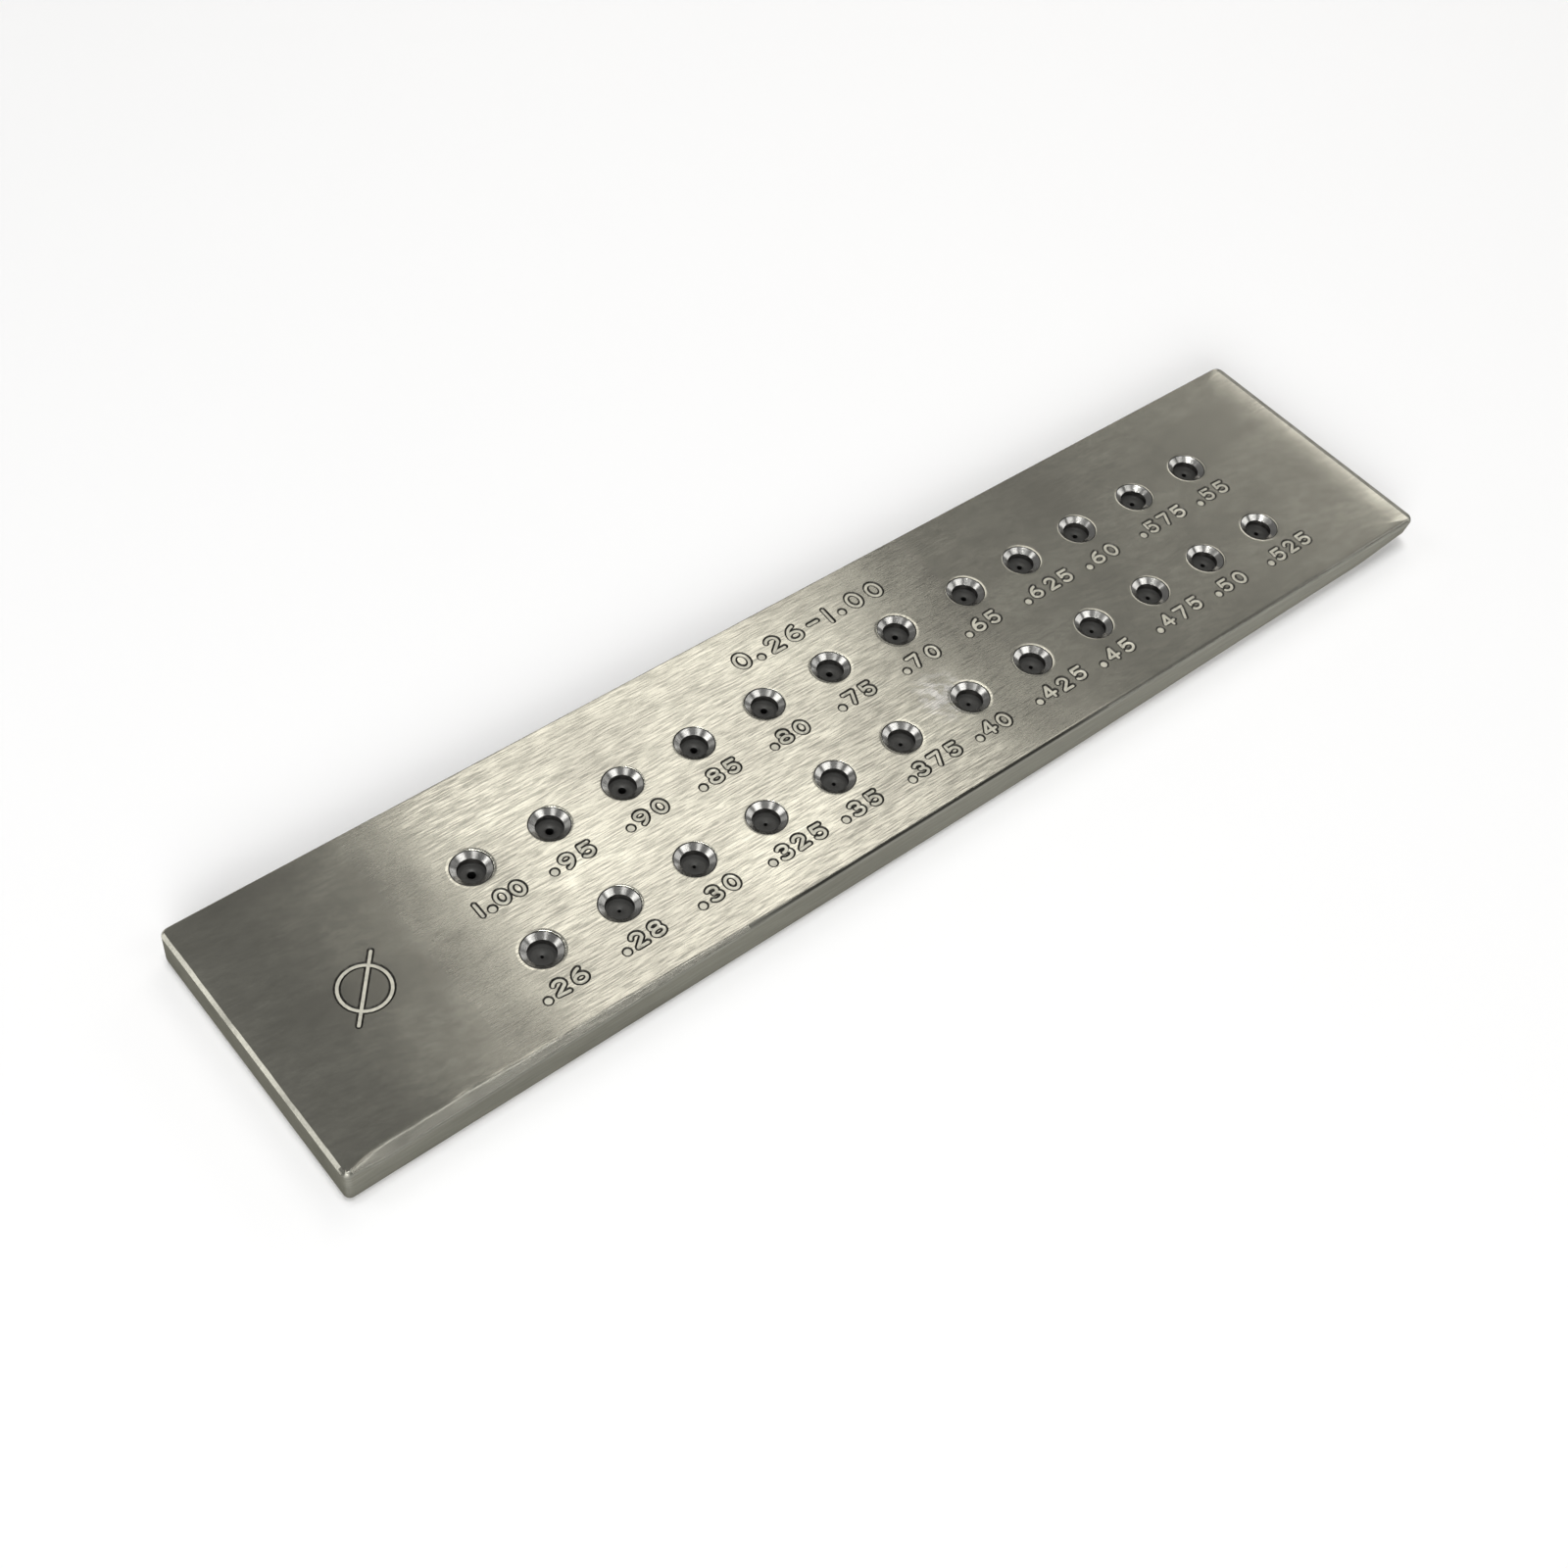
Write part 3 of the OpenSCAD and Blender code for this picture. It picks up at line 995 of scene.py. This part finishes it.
def dress_plate(piece):
    """Gives the faces their finish, and keeps the grinding direction and hole radius with the mesh."""
    mesh = piece.data
    mesh.materials.clear()
    for finish in FINISHES:
        mesh.materials.append(finish())
    normal, middle, points, corner, face = corner_data(mesh)
    mesh.polygons.foreach_set("material_index", face_finish(normal, middle))
    flat = np.abs(normal).max(1) > 0.9999
    mesh.set_sharp_from_angle(angle=math.radians(28))
    mesh.polygons.foreach_set("use_smooth", ~flat)
    grind = mesh.uv_layers.new(name="grind")
    upright = np.abs(normal[face, 2]) < 0.5
    end = upright & (np.abs(normal[face, 0]) > np.abs(normal[face, 1]))
    u = np.where(upright, corner[:, 2], corner[:, 1])
    v = np.where(end, corner[:, 1], corner[:, 0])
    grind.data.foreach_set("uv", np.column_stack([u, v]).ravel() * MM)
    radius = mesh.attributes.new("hole_radius", "FLOAT", "POINT")
    radius.data.foreach_set("value", nearest_hole(points))
    mesh.update()


dress_plate(plate)
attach(plate, "root")
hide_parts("plate")


# The dies

# One die, as in the part
DISH_R = 1.1
DISH_DEPTH = 0.12
RELIEF_L = 0.4
RELIEF_HALF_ANGLE = 16
BEARING_L = 0.6
APPROACH_L = 1.8
APPROACH_HALF_ANGLE = 7
BELL_HALF_ANGLE = 32
DIE_BEVEL = 0.2
# A shallow groove that lapping left in the front face: radius, and height from the face
LAP_GROOVE = np.array([[1.72, 0], [1.68, -0.02], [1.60, -0.02], [1.56, 0]])
# How far past its bearing's radius a bore is painted black as shade
BORE_SHADE_W = 0.35


def die_shell(at, size):
    """One die: its section, from the front face through the bore to the back and up its outside, turned."""
    bore = size / 2
    mouth = bore + RELIEF_L * math.tan(math.radians(RELIEF_HALF_ANGLE))
    approach = bore + APPROACH_L * math.tan(math.radians(APPROACH_HALF_ANGLE))
    z_mouth = DIE_TOP - DISH_DEPTH
    z_exit = z_mouth - RELIEF_L
    z_bearing = z_exit - BEARING_L
    z_approach = z_bearing - APPROACH_L
    bell = approach + (z_approach - DIE_FOOT) * math.tan(math.radians(BELL_HALF_ANGLE))
    dish = np.linspace(0, 1, 5)
    front = np.concatenate([
        [[DIE_R, DIE_TOP - DIE_BEVEL], [DIE_R - DIE_BEVEL, DIE_TOP]],
        LAP_GROOVE + (0, DIE_TOP),
        np.column_stack([DISH_R + (mouth - DISH_R) * dish, DIE_TOP - DISH_DEPTH * dish ** 1.5]),
    ])
    inside = np.array([
        [bore, z_exit], [bore, z_bearing], [approach, z_approach], [bell, DIE_FOOT],
        [DIE_R - DIE_BEVEL, DIE_FOOT], [DIE_R, DIE_FOOT + DIE_BEVEL],
    ])
    return looped_shell(turned(np.concatenate([front, inside]), at))


def dress_die(piece, at, size):
    """Paints the bore black as shade, and keeps each point's distance from the bore's axis with the mesh."""
    mesh = piece.data
    mesh.materials.append(carbide)
    mesh.materials.append(bore_shade)
    normal, middle, points, _, _ = corner_data(mesh)
    near_axis = np.linalg.norm(middle[:, :2] - at, axis=1) < size / 2 + BORE_SHADE_W
    in_bore = near_axis & (middle[:, 2] < DIE_TOP - DISH_DEPTH)
    mesh.polygons.foreach_set("material_index", in_bore.astype(int))
    mesh.set_sharp_from_angle(angle=math.radians(20))
    mesh.polygons.foreach_set("use_smooth", np.ones(len(normal), bool))
    radius = mesh.attributes.new("hole_radius", "FLOAT", "POINT")
    radius.data.foreach_set("value", np.linalg.norm(points[:, :2] - at, axis=1))
    mesh.update()


carbide = lapped_carbide()
bore_shade = painted_bore_shade()
for hole in holes:
    die = mesh_object(hole["node"].replace("die", "carbide"), [die_shell(hole["at"], hole["size"])])
    dress_die(die, hole["at"], hole["size"])
    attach(die, "root")
    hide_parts(hole["node"])


# Floor, light and camera

# The floor lies a hair below the plate
FLOOR_HALF_SIDE = 3000.0
FLOOR_GAP = 0.02
floor_corners = np.array([[-1, -1, 0], [1, -1, 0], [1, 1, 0], [-1, 1, 0]]) * FLOOR_HALF_SIDE
floor_corners = floor_corners - (0, 0, FLOOR_GAP)
floor = mesh_object("floor", [(floor_corners, [np.array([[0, 1, 2, 3]])])])
floor.data.materials.append(studio_paper())

# Height and tint of the panels that the ground face mirrors
PANEL_Z = 0.442
WARM = (1.0, 0.97, 0.93)
WORLD_GREY = 0.138


def off_plate(azimuth, elevation, distance):
    """A place so many metres from the plate, at a bearing from +X and an angle above the floor in degrees."""
    bearing, rise = math.radians(azimuth), math.radians(elevation)
    level_run = distance * math.cos(rise)
    return (level_run * math.cos(bearing), level_run * math.sin(bearing), distance * math.sin(rise))


def softbox(name, at, across, up, radiance, along=None, toward=(0, 0, 0), tint=(1, 1, 1)):
    """A rectangular lamp of a given radiance that faces a point, its width level or along a direction."""
    lamp = bpy.data.lights.new(name, "AREA")
    lamp.shape = "RECTANGLE"
    lamp.size, lamp.size_y = across, up
    lamp.energy = radiance * math.pi * across * up
    lamp.color = tint
    holder = bpy.data.objects.new(name, lamp)
    back = (Vector(at) - Vector(toward)).normalized()
    wide = Vector(along) if along else Vector((0, 0, 1)).cross(back)
    wide = (wide - back * back.dot(wide)).normalized()
    facing = Matrix((wide, back.cross(wide), back)).transposed()
    holder.matrix_world = Matrix.Translation(at) @ facing.to_4x4()
    bpy.context.scene.collection.objects.link(holder)


def ceiling_panel(name, x, y, across, up, radiance):
    """A softbox above the plate that faces straight down, its width along X."""
    softbox(name, (x, y, PANEL_Z), across, up, radiance, (1, 0, 0), (x, y, 0), WARM)


# What the ground face mirrors: the key as its bright zone, with a dim strip at its left and a dimmer right
# part, two panels nearer the plate that slant the ends of that zone, then a dim room and a bright end
ceiling_panel("mirrored_key_left", 0.0723, 0.2, 0.063, 0.3, 0.13)
ceiling_panel("mirrored_key", 0.1845, 0.245, 0.1654, 0.4, 1.36)
ceiling_panel("mirrored_key_right", 0.2945, 0.245, 0.0545, 0.4, 1.06)
ceiling_panel("near_key_left", 0.076, 0.04, 0.06, 0.2, 1.3)
ceiling_panel("near_key_right", 0.33, 0.04, 0.05, 0.2, 0.75)
ceiling_panel("mirrored_room", 0.5, 0.245, 0.2, 0.4, 0.155)
ceiling_panel("mirrored_room_end", 0.56, 0.245, 0.12, 0.4, 0.09)
ceiling_panel("mirrored_end", 0.757, 0.36, 0.3, 0.4, 1.1)
# The lamps that the countersinks mirror, and the fills that they don't
softbox("high_fill", off_plate(-157, 86.2, 1.3), 0.5, 0.24, 18.0, (0, 1, 0))
softbox("camera_fill", off_plate(-135, 24, 1.2), 0.8, 0.5, 7.5)
softbox("left_low", off_plate(150, 12, 1.1), 0.4, 0.2, 1.35)
softbox("front_right_strip", off_plate(-64, 51, 1.0), 0.5, 0.15, 1.8, (0.48, -0.02, -0.2))
softbox("right_panel", off_plate(-20, 24, 1.0), 0.55, 0.2, 1.0, (0.28, 0.4, -0.29))
softbox("front_low", off_plate(-72, 25, 1.0), 0.35, 0.25, 0.32)
softbox("right_low", off_plate(17, 8, 1.0), 0.3, 0.16, 0.6)
softbox("left_overhead", off_plate(-155, 59, 1.0), 0.3, 0.17, 1.2, (0.02, -0.25, -0.05))
softbox("left_back", off_plate(142, 46, 1.0), 0.34, 0.42, 1.5)
softbox("right_back", off_plate(15, 25, 1.08), 0.45, 0.3, 0.7)
softbox("back_low", off_plate(112, 22, 1.2), 0.5, 0.35, 0.28)

world = bpy.data.worlds.new("studio")
world.use_nodes = True
world.node_tree.nodes["Background"].inputs["Color"].default_value = (WORLD_GREY, WORLD_GREY, WORLD_GREY, 1)
bpy.context.scene.world = world

# The camera as fitted to the photograph, with its lens and sensor in millimetres
CAMERA_AT = Vector((-0.15542, -0.13781, 0.23994))
CAMERA_TOWARD = Vector((-0.01875, -0.00569, 0.0064))
CAMERA_ROLL = math.radians(8.442)
LENS = 49.673
SENSOR = 36.0
eye = bpy.data.cameras.new("camera")
eye.lens = LENS
eye.sensor_width = SENSOR
eye.clip_start = 0.01
camera = bpy.data.objects.new("camera", eye)
gaze = (CAMERA_TOWARD - CAMERA_AT).normalized()
level = gaze.cross(Vector((0, 0, 1))).normalized()
above = level.cross(gaze)
right = level * math.cos(CAMERA_ROLL) + above * math.sin(CAMERA_ROLL)
up = right.cross(gaze)
turn_to = Matrix((right, up, -gaze)).transposed()
camera.matrix_world = Matrix.Translation(CAMERA_AT) @ turn_to.to_4x4()
bpy.context.scene.collection.objects.link(camera)
bpy.context.scene.camera = camera
bpy.context.scene.view_settings.view_transform = "Standard"
